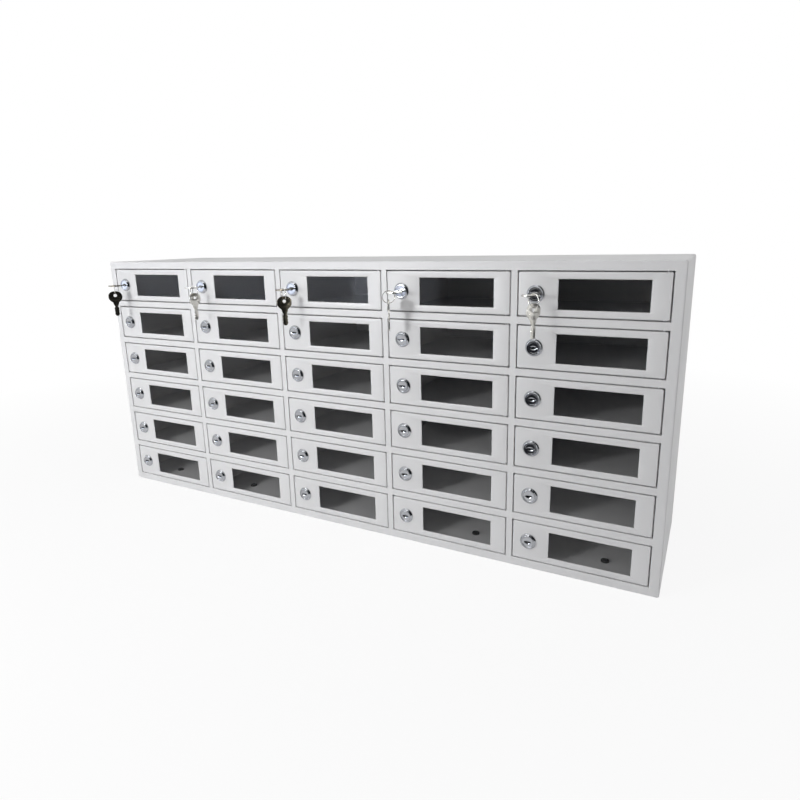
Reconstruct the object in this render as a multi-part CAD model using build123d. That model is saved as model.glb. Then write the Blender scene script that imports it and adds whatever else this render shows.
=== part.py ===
from build123d import *
import math
import os

# Wall cabinet with thirty small locking compartments for phones.
# X runs to the right, Y into the cabinet and Z up. The origin is the centre of the underside.
# All sizes are in millimetres.

# Overall grid
COLUMNS = 5
ROWS = 6
DEPTH = 225.0

# Doors and the frame faces between them
DOOR_W = 178.6
DOOR_H = 55.1
DOOR_GAP = 1.6
STILE_FACE = 8.2
RAIL_FACE = 9.8
SIDE_FACE = 12.8
END_FACE = 12.2

# Sheet thicknesses and folds
SHEET = 1.2
SHELF_SHEET = 1.0
OUTLINE_R = 3.0
FRONT_EDGE_R = 2.0
FOLD_R = 0.9
FLANGE = 14.0

# Door pan
DOOR_CORNER_R = 1.6
WINDOW_W = 107.0
WINDOW_H = 37.8
WINDOW_RIGHT = 21.55
PANE_LAP_X = 5.0
PANE_LAP_Z = 4.35
PANE_THICK = 2.0

# Hinge pins
PIN_R = 1.5
PIN_CLEAR = 0.05
PIN_IN = 5.0
PIN_BEHIND = 4.0
PIN_HEAD_R = 2.5
PIN_HEAD = 0.8
PIN_REACH = 1.0

# Lock housing, plug, cam, nut and screw; depths are measured from the door's front face
LOCK_IN = 22.0
BEZEL_R = 11.25
BEZEL_TOP_R = 8.9
BEZEL_OUT = 4.0
BEZEL_RIM = 0.9
HOUSING_R = 9.5
HOUSING_FLAT = 8.0
HOLE_CLEAR = 0.1
PLUG_HEAD_R = 8.0
PLUG_HEAD = 1.4
PLUG_SUNK = 0.3
PLUG_R = 6.25
PLUG_CLEAR = 0.1
FACE_STEP_R = 7.0
FACE_STEP = 0.3
DISH_W = 10.4
DISH_H = 5.6
DISH_DEEP = 0.6
KEYWAY_ROOM = 0.5
KEYWAY_CLEAR = 0.2
TANG_R = 5.0
TANG_FLAT = 3.5
NUT_FLATS = 24.0
NUT_THICK = 3.0
CAM_THICK = 1.7
CAM_HUB_R = 8.0
CAM_W = 12.0
CAM_REACH = 22.0
CAM_TIP_R = 2.5
SCREW_R = 2.0
SCREW_DEEP = 5.0
SCREW_HEAD_R = 4.2
SCREW_HEAD = 2.4
SCREW_SLOT = 0.9
SCREW_SLOT_LONG = 5.0
SCREW_SLOT_DEEP = 1.2

# Strike tabs that the turned cams catch behind
STRIKE_TALL = 24.0
STRIKE_REACH = 6.0
STRIKE_CLEAR = 0.5
CAM_CLEAR = 0.8
PLUG_OUT = 0.5

# Keys and their rings; lengths along a key are measured from the bow's end
KEY_THICK = 1.8
KEY_OUT = 32.0
KEY_HOLE_AT = 7.5
KEY_HOLE_R = 2.75
BOW_HALF = [(0.0, 4.8), (3.0, 9.2), (6.4, 11.2), (12.8, 11.2), (17.2, 8.2), (20.0, 4.6)]
BLADE_HALF = [(22.5, 4.5), (25.0, 3.2), (27.0, 2.0), (29.0, 3.4), (31.0, 4.0), (33.0, 3.3),
              (35.0, 4.0), (37.5, 3.2), (39.5, 4.0), (42.5, 3.0), (44.0, 1.2)]
RING_R = 8.45
RING_WIRE_R = 0.55
RING_CLEAR = 0.25
RING_TURNS = [53.0, 88.0, 57.0, -60.0, 60.0]
SPARE_CLEAR = 0.1

# Floor plugs and fixing holes
FIXING_COLUMNS = [0, 1, 3, 4]
FIXING_IN = 61.0
FIXING_BEHIND = 42.0
FIXING_R = 3.5
FLOOR_PLUG_HEAD_R = 5.6
FLOOR_PLUG_HEAD = 2.6
FLOOR_PLUG_EDGE = 0.9
FLOOR_PLUG_DISH_R = 3.4
FLOOR_PLUG_DISH = 0.7
FLOOR_PLUG_STEM_R = 4.0
FLOOR_PLUG_STEM = 4.0
WALL_HOLE_R = 4.0
WALL_HOLE_IN = 21.0

# Sizes that follow from the ones above
OPEN_W = DOOR_W + 2 * DOOR_GAP
OPEN_H = DOOR_H + 2 * DOOR_GAP
PITCH_X = OPEN_W + STILE_FACE
PITCH_Z = OPEN_H + RAIL_FACE
WIDTH = 2 * SIDE_FACE + COLUMNS * OPEN_W + (COLUMNS - 1) * STILE_FACE
HEIGHT = 2 * END_FACE + ROWS * OPEN_H + (ROWS - 1) * RAIL_FACE
FRONT = -DEPTH / 2
BACK = DEPTH / 2
HALF = WIDTH / 2
BACK_FACE = BACK - SHEET
STRIKE_BEHIND = FLANGE + STRIKE_CLEAR
STRIKE_BACK = STRIKE_BEHIND + SHEET
PLUG_BACK = STRIKE_BACK + CAM_CLEAR
HOUSING_BACK = PLUG_BACK - PLUG_OUT
CAM_BACK = PLUG_BACK + CAM_THICK
STRIKE_LEG = STRIKE_BACK
WINDOW_CENTRE = DOOR_W - WINDOW_RIGHT - WINDOW_W / 2
INSIDE_LOCK = [half for along, half in BLADE_HALF if along > KEY_OUT - BEZEL_OUT]
KEYWAY_W = 2 * (max(INSIDE_LOCK) + KEYWAY_ROOM)
KEYWAY_H = KEY_THICK + 2 * KEYWAY_CLEAR
KEYWAY_END = BLADE_HALF[-1][0] - KEY_OUT + KEYWAY_ROOM


def opening_x(col):
    """Left side of the openings in a column, counted from the left."""
    return -HALF + SIDE_FACE + col * PITCH_X


def opening_z(row):
    """Bottom of the openings in a row, counted from the top."""
    return END_FACE + (ROWS - 1 - row) * PITCH_Z


def fixing_x(col):
    """Place of a base fixing, set in from the outer side of its column's opening."""
    left = opening_x(col) + FIXING_IN
    return left if col < COLUMNS / 2 else opening_x(col) + OPEN_W - FIXING_IN


FIXING_X = [fixing_x(col) for col in FIXING_COLUMNS]
FIXING_Y = FRONT + FIXING_BEHIND


def slab(xs, ys, zs):
    """Box between two values along each axis."""
    size = [xs[1] - xs[0], ys[1] - ys[0], zs[1] - zs[0]]
    return Pos(xs[0], ys[0], zs[0]) * Box(*size, align=(Align.MIN, Align.MIN, Align.MIN))


def rod_y(radius, start, end):
    """Round rod along Y about the origin."""
    return Pos(0, (start + end) / 2, 0) * Rot(90, 0, 0) * Cylinder(radius, end - start)


def rod_z(radius, x, y, zs):
    """Round rod along Z at a point, between two heights."""
    return Pos(x, y, (zs[0] + zs[1]) / 2) * Cylinder(radius, zs[1] - zs[0])


def turned(points):
    """Solid of revolution about Y from (radius, depth) points."""
    return revolve(make_face(Polyline(*points, close=True)), Axis.Y, 360)


def double_d(radius, flat, start, end):
    """Round rod along Y with a flat above and a flat below."""
    return rod_y(radius, start, end) & slab((-radius, radius), (start, end), (-flat, flat))


def rounded_block(xs, ys, zs, corner, edge):
    """Block with rounded corners seen from the front and a rounded front edge."""
    block = fillet(slab(xs, ys, zs).edges().filter_by(Axis.Y), corner)
    rim = block.edges().filter_by_position(Axis.Y, ys[0] - 0.01, ys[0] + 0.01)
    return fillet(rim, edge)


def one_solid(shape):
    """The single solid of a shape."""
    return shape.solids()[0]


def save(name, pieces):
    """Write one node, with all its separate pieces."""
    export_step(Compound(label=name, children=[one_solid(piece) for piece in pieces]),
                f"parts/{name}.step")


# Outer form of the cabinet and the hollow inside its folded sheet
outer = rounded_block((-HALF, HALF), (FRONT, BACK), (0, HEIGHT), OUTLINE_R, FRONT_EDGE_R)
inner = rounded_block((-HALF + SHEET, HALF - SHEET), (FRONT + SHEET, BACK + 10),
                      (SHEET, HEIGHT - SHEET), OUTLINE_R - SHEET, FRONT_EDGE_R - SHEET)
shell = outer - inner
FACE_BACK = FRONT + SHEET
LEFT_LEG_X = -HALF + SIDE_FACE


def strike_tab(x, row):
    """Tab folded from the rear edge of a leg, at the height of the lock in a row."""
    middle = opening_z(row) + OPEN_H / 2
    return slab((x - SHEET, x + STRIKE_REACH), (FRONT + STRIKE_BEHIND, FRONT + STRIKE_BACK),
                (middle - STRIKE_TALL / 2, middle + STRIKE_TALL / 2))


def hinge_holes(col, zs):
    """Cutter for the hinge pins of a column of doors."""
    x = opening_x(col) + DOOR_GAP + DOOR_W - PIN_IN
    return rod_z(PIN_R, x, FRONT + PIN_BEHIND, zs)


# Side panels: outer plate, the bends into the top and base, the front face and its inner leg
def side_region(sign):
    """Space that a side panel takes from the folded shell."""
    plate = slab((-HALF, -HALF + OUTLINE_R), (FRONT, BACK), (0, HEIGHT))
    face = slab((-HALF, -HALF + SIDE_FACE), (FRONT, FACE_BACK), (0, HEIGHT))
    region = plate + face
    return region if sign < 0 else mirror(region, Plane.YZ)


left_leg = slab((LEFT_LEG_X - SHEET, LEFT_LEG_X), (FACE_BACK, FRONT + STRIKE_LEG), (0, HEIGHT))
left_panel = (shell & side_region(-1)) + (left_leg & inner)
for row in range(ROWS):
    left_panel = left_panel + strike_tab(LEFT_LEG_X, row)
right_leg = slab((-LEFT_LEG_X, -LEFT_LEG_X + SHEET), (FACE_BACK, FRONT + FLANGE), (0, HEIGHT))
right_panel = (shell & side_region(1)) + (right_leg & inner)
save("left_side_panel", [left_panel])
save("right_side_panel", [right_panel])

# Top panel: plate, front face between the side panels and the lip that holds the upper pins
top_z = HEIGHT - END_FACE
top_plate = slab((-HALF + OUTLINE_R, HALF - OUTLINE_R), (FACE_BACK, BACK), (top_z, HEIGHT))
top_face = slab((LEFT_LEG_X, -LEFT_LEG_X), (FRONT, FACE_BACK), (top_z, HEIGHT))
top_lip = slab((LEFT_LEG_X, -LEFT_LEG_X), (FACE_BACK, FRONT + FLANGE), (top_z, top_z + SHEET))
top_panel = (shell & (top_plate + top_face)) + top_lip
for col in range(COLUMNS):
    top_panel = top_panel - hinge_holes(col, (top_z - 1, top_z + SHEET + 1))
save("top_panel", [top_panel])

# Base panel with the four fixing holes
base_plate = slab((-HALF + OUTLINE_R, HALF - OUTLINE_R), (FACE_BACK, BACK), (0, END_FACE))
base_panel = shell & base_plate
for x in FIXING_X:
    base_panel = base_panel - rod_z(FIXING_R, x, FIXING_Y, (-1, SHEET + 1))
save("base_panel", [base_panel])

# Back panel, let in between the side, top and base panels, with four wall holes
back_form = slab((-HALF + SHEET, HALF - SHEET), (BACK_FACE, BACK), (SHEET, HEIGHT - SHEET))
back_panel = fillet(back_form.edges().filter_by(Axis.Y), OUTLINE_R - SHEET)
WALL_HOLE_X = -opening_x(0) - WALL_HOLE_IN
for x in (-WALL_HOLE_X, WALL_HOLE_X):
    for row in (0, ROWS - 1):
        hole = Pos(x, 0, opening_z(row) + OPEN_H / 2) * rod_y(WALL_HOLE_R, BACK_FACE - 1, BACK + 1)
        back_panel = back_panel - hole
save("back_panel", [back_panel])


# Front stiles: a face with a hinge-side leg on its left and a strike leg on its right
def stile(col):
    """Folded channel between a column of doors and the next."""
    right = opening_x(col + 1)
    left = right - STILE_FACE
    face = slab((left, right), (FRONT, FACE_BACK), (0, top_z)) & outer
    hinge_leg = slab((left, left + SHEET), (FACE_BACK, FRONT + FLANGE), (0, top_z)) & inner
    strike_leg = slab((right - SHEET, right), (FACE_BACK, FRONT + STRIKE_LEG), (0, top_z)) & inner
    body = face + hinge_leg + strike_leg
    for row in range(ROWS):
        body = body + strike_tab(right, row)
    return body


save("front_stiles", [stile(col) for col in range(COLUMNS - 1)])


# Partitions between the columns, from the stile's face to the back panel
def partition_x(col):
    """Left face of the partition to the right of a column."""
    return opening_x(col + 1) - STILE_FACE / 2 - SHELF_SHEET / 2


def partition(col):
    """Upright sheet, cut away round the top panel's lip."""
    xs = (partition_x(col), partition_x(col) + SHELF_SHEET)
    body = slab(xs, (FACE_BACK, BACK_FACE), (0, HEIGHT)) & inner
    return body - top_lip - slab(xs, (FRONT, FACE_BACK + 0.01), (top_z, HEIGHT))


save("partitions", [partition(col) for col in range(COLUMNS - 1)])


# Shelves: floor plate, front face that forms the rail and a lip for the pins of the door below
def shelf(col, row):
    """Folded shelf below the openings of a row."""
    x = opening_x(col)
    top = opening_z(row)
    lowest = row == ROWS - 1
    bottom = 0 if lowest else top - RAIL_FACE
    floor = top - SHELF_SHEET
    web_back = FRONT + SHELF_SHEET
    wide_from = FRONT + STRIKE_LEG + 0.5
    left = -HALF + SHEET if col == 0 else partition_x(col - 1) + SHELF_SHEET
    right = HALF - SHEET if col == COLUMNS - 1 else partition_x(col)
    form = slab((x, x + OPEN_W), (FRONT, wide_from), (bottom, top))
    if lowest:
        rim = form.edges().filter_by(Axis.X).group_by(Axis.Y)[0].sort_by(Axis.Z)[-1:]
    else:
        rim = form.edges().filter_by(Axis.X).group_by(Axis.Y)[0]
    form = fillet(rim, FOLD_R)
    under = 0 if lowest else bottom + SHELF_SHEET
    form = form - slab((x, x + OPEN_W), (web_back, wide_from + 1), (under - 1 if lowest else under, floor))
    if not lowest:
        form = form - slab((x, x + OPEN_W), (FRONT + FLANGE, wide_from + 1), (bottom - 1, floor))
    body = form + slab((left, right), (wide_from, BACK_FACE), (floor, top))
    if lowest:
        body = body & outer
    body = body - hinge_holes(col, (bottom - 1, top + 1))
    if lowest:
        for fx in FIXING_X:
            if x < fx < x + OPEN_W:
                body = body - rod_z(FLOOR_PLUG_STEM_R, fx, FIXING_Y, (floor - 1, top + 1))
    return body


save("shelves", [shelf(col, row) for col in range(COLUMNS) for row in range(ROWS)])


# Hinge pins, pressed into the folded edges above and below each door
def pin(x, seat, tip, head):
    """Pin standing from its head, which lies against the seat's hidden side, to its tip."""
    shank = rod_z(PIN_R, x, FRONT + PIN_BEHIND, (min(seat, tip), max(seat, tip)))
    top = rod_z(PIN_HEAD_R, x, FRONT + PIN_BEHIND, (min(seat, head), max(seat, head)))
    return shank + top


pins = []
for col in range(COLUMNS):
    for row in range(ROWS):
        px = opening_x(col) + DOOR_GAP + DOOR_W - PIN_IN
        low = opening_z(row)
        high = low + OPEN_H
        into = DOOR_GAP + SHEET + PIN_REACH
        lip = SHEET if row == 0 else SHELF_SHEET
        pins.append(pin(px, low - SHELF_SHEET, low + into, low - SHELF_SHEET - PIN_HEAD))
        pins.append(pin(px, high + lip, high - into, high + lip + PIN_HEAD))
save("hinge_pins", pins)


# Floor plugs that close the access holes above the base fixings
def floor_plug(x):
    """Push-in plug with a dished head."""
    z = END_FACE
    head = rod_z(FLOOR_PLUG_HEAD_R, x, FIXING_Y, (z, z + FLOOR_PLUG_HEAD))
    head = fillet(head.edges().group_by(Axis.Z)[-1], FLOOR_PLUG_EDGE)
    dish_low = z + FLOOR_PLUG_HEAD - FLOOR_PLUG_DISH
    head = head - rod_z(FLOOR_PLUG_DISH_R, x, FIXING_Y, (dish_low, dish_low + 5))
    return head + rod_z(FLOOR_PLUG_STEM_R, x, FIXING_Y, (z - FLOOR_PLUG_STEM, z))


save("floor_plugs", [floor_plug(x) for x in FIXING_X])

# Door, in its own frame: x from its left edge, y from its front face, z from its bottom edge
LOCK_PLACE = Pos(LOCK_IN, 0, DOOR_H / 2)
pan_form = rounded_block((0, DOOR_W), (0, FLANGE), (0, DOOR_H), DOOR_CORNER_R, FOLD_R)
pan_hollow = slab((SHEET, DOOR_W - SHEET), (SHEET, FLANGE + 1), (SHEET, DOOR_H - SHEET))
pan = pan_form - pan_hollow
pan = pan - slab((WINDOW_CENTRE - WINDOW_W / 2, WINDOW_CENTRE + WINDOW_W / 2), (-1, SHEET + 1),
                 ((DOOR_H - WINDOW_H) / 2, (DOOR_H + WINDOW_H) / 2))
pan = pan - LOCK_PLACE * double_d(HOUSING_R + HOLE_CLEAR, HOUSING_FLAT + HOLE_CLEAR, -1, SHEET + 1)
pan = pan - rod_z(PIN_R + PIN_CLEAR, DOOR_W - PIN_IN, PIN_BEHIND, (-1, DOOR_H + 1))
PANE_W = WINDOW_W + 2 * PANE_LAP_X
PANE_H = WINDOW_H + 2 * PANE_LAP_Z
pane = slab((WINDOW_CENTRE - PANE_W / 2, WINDOW_CENTRE + PANE_W / 2), (SHEET, SHEET + PANE_THICK),
            ((DOOR_H - PANE_H) / 2, (DOOR_H + PANE_H) / 2))

# Lock housing about its own axis: a conical bezel in front and a barrel with two flats behind
bore_r = PLUG_R + PLUG_CLEAR
seat_r = PLUG_HEAD_R + PLUG_CLEAR
plug_face = -BEZEL_OUT + PLUG_SUNK
head_back = plug_face + PLUG_HEAD
seat_y = head_back + PLUG_CLEAR
bezel = turned([(bore_r, 0), (bore_r, seat_y), (seat_r, seat_y), (seat_r, -BEZEL_OUT),
                (BEZEL_TOP_R, -BEZEL_OUT), (BEZEL_R, -BEZEL_RIM), (BEZEL_R, 0)])
barrel = double_d(HOUSING_R, HOUSING_FLAT, 0, HOUSING_BACK) - rod_y(bore_r, -1, HOUSING_BACK + 1)
housing = LOCK_PLACE * (bezel + barrel)
nut_form = extrude(Plane.XZ * RegularPolygon(NUT_FLATS / math.sqrt(3), 6), -NUT_THICK)
nut = LOCK_PLACE * Pos(0, SHEET, 0) * (nut_form - rod_y(HOUSING_R, -1, NUT_THICK + 1))

# Plug with its stepped face, lens-shaped dish, keyway and the tang that carries the cam
plug = turned([(0, plug_face), (PLUG_HEAD_R, plug_face), (PLUG_HEAD_R, head_back),
               (PLUG_R, head_back), (PLUG_R, PLUG_BACK), (0, PLUG_BACK)])
plug = plug + double_d(TANG_R, TANG_FLAT, PLUG_BACK - 0.5, CAM_BACK)
plug = plug - rod_y(FACE_STEP_R, plug_face - 1, plug_face + FACE_STEP)
lens_r = (DISH_W ** 2 + DISH_H ** 2) / (4 * DISH_H)
lens_up = lens_r - DISH_H / 2
dish_back = plug_face + FACE_STEP + DISH_DEEP
dish = (Pos(0, 0, lens_up) * rod_y(lens_r, plug_face - 1, dish_back)
        & Pos(0, 0, -lens_up) * rod_y(lens_r, plug_face - 1, dish_back))
plug = plug - dish
plug = plug - slab((-KEYWAY_W / 2, KEYWAY_W / 2), (plug_face - 1, KEYWAY_END),
                   (-KEYWAY_H / 2, KEYWAY_H / 2))
plug = plug - rod_y(SCREW_R, CAM_BACK - SCREW_DEEP, CAM_BACK + 1)
plug = LOCK_PLACE * plug

# Cam, pointing up where it is free of its strike
cam = rod_y(CAM_HUB_R, PLUG_BACK, CAM_BACK)
arm = slab((-CAM_W / 2, CAM_W / 2), (PLUG_BACK, CAM_BACK), (0, CAM_REACH))
arm = fillet(arm.edges().filter_by(Axis.Y).group_by(Axis.Z)[-1], CAM_TIP_R)
cam = LOCK_PLACE * (cam + arm - double_d(TANG_R, TANG_FLAT, PLUG_BACK - 1, CAM_BACK + 1))

# Cam screw with a cross slot
screw = (rod_y(SCREW_R, CAM_BACK - SCREW_DEEP, CAM_BACK)
         + rod_y(SCREW_HEAD_R, CAM_BACK, CAM_BACK + SCREW_HEAD))
slot_ys = (CAM_BACK + SCREW_HEAD - SCREW_SLOT_DEEP, CAM_BACK + SCREW_HEAD + 1)
for long, tall in ((SCREW_SLOT_LONG, SCREW_SLOT), (SCREW_SLOT, SCREW_SLOT_LONG)):
    screw = screw - slab((-long / 2, long / 2), slot_ys, (-tall / 2, tall / 2))
screw = LOCK_PLACE * screw

# Key, in its own frame: y from the bow's end to the tip, x across and z through the sheet
outline = [(half, along) for along, half in BOW_HALF + BLADE_HALF]
outline += [(-half, along) for along, half in reversed(BOW_HALF + BLADE_HALF)]
key = extrude(make_face(Polyline(*outline, close=True)), KEY_THICK / 2, both=True)
key = key - Pos(0, KEY_HOLE_AT, 0) * Cylinder(KEY_HOLE_R, 2 * KEY_THICK)


def bow_reach(turn):
    """Distance from the key's hole to the bow's edge, turned from the bow's end."""
    across = math.sin(math.radians(abs(turn)))
    along = -math.cos(math.radians(turn))
    reach = 1000.0
    edge = [(0.0, 0.0)] + BOW_HALF
    for (s0, h0), (s1, h1) in zip(edge, edge[1:]):
        det = across * (s1 - s0) - along * (h1 - h0)
        if abs(det) > 1e-9:
            far = (h0 * (s1 - s0) - (s0 - KEY_HOLE_AT) * (h1 - h0)) / det
            part = (h0 * along - (s0 - KEY_HOLE_AT) * across) / det
            if far > 0 and -1e-6 <= part <= 1 + 1e-6:
                reach = min(reach, far)
    return reach


# Doors, locks and the keys of the top row
for col in range(COLUMNS):
    for row in range(ROWS):
        place = Pos(opening_x(col) + DOOR_GAP, FRONT, opening_z(row) + DOOR_GAP)
        fixed = [pan, pane, housing, nut]
        turning = [plug, cam, screw]
        if row > 0:
            save(f"door_row{row + 1}_col{col + 1}", [place * p for p in fixed + turning])
            continue
        save(f"door_row{row + 1}_col{col + 1}", [place * p for p in fixed])
        save(f"lock_cam_col{col + 1}", [place * p for p in turning])
    # The inserted key lies flat; the ring hangs through its hole and over the edge of its bow
    lock_x = opening_x(col) + DOOR_GAP + LOCK_IN
    lock_z = opening_z(0) + OPEN_H / 2
    bow_y = FRONT - KEY_OUT
    save(f"key_col{col + 1}", [Pos(lock_x, bow_y, lock_z) * key])
    turn = RING_TURNS[col]
    reach = bow_reach(turn)
    out = Vector(math.sin(math.radians(turn)), -math.cos(math.radians(turn)), 0)
    strip = (reach - KEY_HOLE_R) / 2
    room = RING_R - RING_WIRE_R - RING_CLEAR
    drop = math.sqrt(room ** 2 - strip ** 2) - KEY_THICK / 2
    hole = Vector(lock_x, bow_y + KEY_HOLE_AT, lock_z)
    centre = hole + out * (KEY_HOLE_R + strip) - Vector(0, 0, drop)
    across = Vector(-out.Y, out.X, 0)
    ring = Plane(origin=centre, x_dir=out, z_dir=across).location * Torus(RING_R, RING_WIRE_R)
    save(f"key_ring_col{col + 1}", [ring])
    low = centre.Z - RING_R
    spare_z = low + RING_WIRE_R + SPARE_CLEAR - KEY_HOLE_R
    spare_hole = Vector(centre.X, centre.Y, spare_z)
    hang = Plane(origin=spare_hole, x_dir=Vector(out.Y, -out.X, 0), z_dir=out).location
    save(f"spare_key_col{col + 1}", [hang * Pos(0, -KEY_HOLE_AT, 0) * key])
    print(f"column {col + 1}: key hole {tuple(round(v, 3) for v in hole)}, "
          f"ring centre {tuple(round(v, 3) for v in centre)}, "
          f"spare hole {tuple(round(v, 3) for v in spare_hole)}, turn {turn}")
print(f"width {WIDTH:.1f}, height {HEIGHT:.1f}, depth {DEPTH:.1f}")
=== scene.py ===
import math

import bmesh
import bpy
import numpy as np
from mathutils import Matrix, Vector


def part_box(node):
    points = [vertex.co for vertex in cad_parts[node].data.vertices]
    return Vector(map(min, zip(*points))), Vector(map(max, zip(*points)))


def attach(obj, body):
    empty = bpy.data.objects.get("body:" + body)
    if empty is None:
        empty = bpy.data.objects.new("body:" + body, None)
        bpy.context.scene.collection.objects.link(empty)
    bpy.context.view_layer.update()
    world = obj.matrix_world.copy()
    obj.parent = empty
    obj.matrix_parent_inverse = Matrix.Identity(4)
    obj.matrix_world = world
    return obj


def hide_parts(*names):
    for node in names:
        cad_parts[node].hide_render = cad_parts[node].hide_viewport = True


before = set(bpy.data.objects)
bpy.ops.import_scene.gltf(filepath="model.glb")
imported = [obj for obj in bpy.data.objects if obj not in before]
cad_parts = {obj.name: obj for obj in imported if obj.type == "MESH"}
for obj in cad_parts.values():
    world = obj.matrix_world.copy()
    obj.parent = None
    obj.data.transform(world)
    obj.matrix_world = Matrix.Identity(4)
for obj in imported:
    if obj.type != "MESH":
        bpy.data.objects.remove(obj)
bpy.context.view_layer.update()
scene = bpy.context.scene
scene.view_settings.view_transform = "Standard"

MM = 0.001
COLUMNS = 5
ROWS = 6

# --- Floor, backdrop and light --------------------------------------------------------------
# A pale table top under the cabinet in a white room, lit by four soft boxes in front, above and
# to the right. A painted reflection for its panes and plated locks: glowing cards in front of the
# cabinet, chiefly a dark wall, that only glossy rays see.


def material(name):
    """Empty node material: returns it, its tree's nodes and its links, and its output node."""
    made = bpy.data.materials.new(name)
    made.use_nodes = True
    made.node_tree.nodes.clear()
    end = made.node_tree.nodes.new("ShaderNodeOutputMaterial")
    return made, made.node_tree.nodes, made.node_tree.links, end


def seen_rays(nodes, links):
    """Mask of 1 for camera, glossy and transmission rays: the largest of the three flags."""
    path = nodes.new("ShaderNodeLightPath")
    most = nodes.new("ShaderNodeMath")
    most.operation = "MAXIMUM"
    links.new(path.outputs["Is Camera Ray"], most.inputs[0])
    links.new(path.outputs["Is Glossy Ray"], most.inputs[1])
    both = nodes.new("ShaderNodeMath")
    both.operation = "MAXIMUM"
    links.new(most.outputs[0], both.inputs[0])
    links.new(path.outputs["Is Transmission Ray"], both.inputs[1])
    return both.outputs[0]


world = bpy.data.worlds.new("white_room")
scene.world = world
world.use_nodes = True
wn, wl = world.node_tree.nodes, world.node_tree.links
wn.clear()
room_light = wn.new("ShaderNodeBackground")
room_light.inputs["Color"].default_value = (0.99, 0.99, 1.0, 1)
room_light.inputs["Strength"].default_value = 0.22
room_seen = wn.new("ShaderNodeBackground")
room_seen.inputs["Color"].default_value = (1.0, 1.0, 1.0, 1)
room_seen.inputs["Strength"].default_value = 1.0
room_mix = wn.new("ShaderNodeMixShader")
room_out = wn.new("ShaderNodeOutputWorld")
wl.new(seen_rays(wn, wl), room_mix.inputs[0])
wl.new(room_light.outputs[0], room_mix.inputs[1])
wl.new(room_seen.outputs[0], room_mix.inputs[2])
wl.new(room_mix.outputs[0], room_out.inputs[0])

floor_mesh = bpy.data.meshes.new("table_top")
floor_mesh.from_pydata([(-30, -30, 0), (30, -30, 0), (30, 30, 0), (-30, 30, 0)], [], [(0, 1, 2, 3)])
table_top = bpy.data.objects.new("table_top", floor_mesh)
scene.collection.objects.link(table_top)
table_mat, tn, tl, table_end = material("pale_table")
table_cloth = tn.new("ShaderNodeBsdfPrincipled")
table_cloth.inputs["Base Color"].default_value = (0.86, 0.86, 0.87, 1)
table_cloth.inputs["Roughness"].default_value = 0.9
table_cloth.inputs["Specular IOR Level"].default_value = 0.0
table_glow = tn.new("ShaderNodeEmission")
table_glow.inputs["Color"].default_value = (1, 1, 1, 1)
table_glow.inputs["Strength"].default_value = 1.0
table_mix = tn.new("ShaderNodeMixShader")
table_place = tn.new("ShaderNodeTexCoord")
table_far = tn.new("ShaderNodeVectorMath")
table_far.operation = "LENGTH"
table_fade = tn.new("ShaderNodeMapRange")
table_fade.inputs["From Min"].default_value = 0.5
table_fade.inputs["From Max"].default_value = 1.5
table_fade.inputs["To Min"].default_value = 0.90
table_fade.inputs["To Max"].default_value = 1.0
table_share = tn.new("ShaderNodeMath")
table_share.operation = "MULTIPLY"
tl.new(table_place.outputs["Object"], table_far.inputs[0])
tl.new(table_far.outputs["Value"], table_fade.inputs["Value"])
tl.new(table_fade.outputs["Result"], table_share.inputs[1])
tl.new(seen_rays(tn, tl), table_share.inputs[0])
tl.new(table_share.outputs[0], table_mix.inputs[0])
tl.new(table_cloth.outputs[0], table_mix.inputs[1])
tl.new(table_glow.outputs[0], table_mix.inputs[2])
tl.new(table_mix.outputs[0], table_end.inputs[0])
floor_mesh.materials.append(table_mat)

# Painted reflection for the panes and the plated locks: glowing cards that stand for a dim room in
# front, with a paler left part, a dark right-hand wall and ceiling, and a dark patch of floor. Only glossy
# rays see them.
WALL_Y = -2.6
WALL_TOP = 1.9
LEFT_X = -1.56
LEFT_END = (-8.0, -3.2)
LEFT_TOP = 2.6
SIDE_X = 1.9
SIDE_BACK = -0.25
SIDE_TOP = 2.2
ABOVE_X = 0.4
LIFT = 0.002


def front_wall(x0, x1, top):
    """Corners of an upright piece of the front wall between two places along it."""
    return [(x0, WALL_Y, 0), (x1, WALL_Y, 0), (x1, WALL_Y, top), (x0, WALL_Y, top)]


# Name, corners, glow tone and share of grain of each glowing card of the painted reflection.
MIRRORED_ROOM_CARDS = [("room_front_dark", front_wall(-0.95, 2.4, WALL_TOP), 0.02, 0.0),
        ("room_front_mid", front_wall(-1.43, -0.95, WALL_TOP), 1.2, 0.2),
        ("room_front_bright", front_wall(LEFT_X, -1.43, 0.5), 4.5, 0.6),
        ("room_front_left", [(*LEFT_END, 0), (LEFT_X, WALL_Y, 0), (LEFT_X, WALL_Y, LEFT_TOP),
                             (*LEFT_END, LEFT_TOP)], 1.9, 0.4),
        ("room_right_dark", [(SIDE_X, WALL_Y, 0), (SIDE_X, SIDE_BACK, 0), (SIDE_X, SIDE_BACK, SIDE_TOP),
                             (SIDE_X, WALL_Y, SIDE_TOP)], 0.02, 0.0),
        ("room_above_dark", [(ABOVE_X, WALL_Y, SIDE_TOP), (SIDE_X, WALL_Y, SIDE_TOP),
                             (SIDE_X, SIDE_BACK, SIDE_TOP), (ABOVE_X, SIDE_BACK, SIDE_TOP)], 0.02, 0.0),
        ("room_floor_dark", [(-0.29, -0.74, LIFT), (-0.42, WALL_Y, LIFT), (SIDE_X, WALL_Y, LIFT),
                             (SIDE_X, SIDE_BACK, LIFT), (0.62, -0.249, LIFT)], 0.03, 0.0)]
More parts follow.
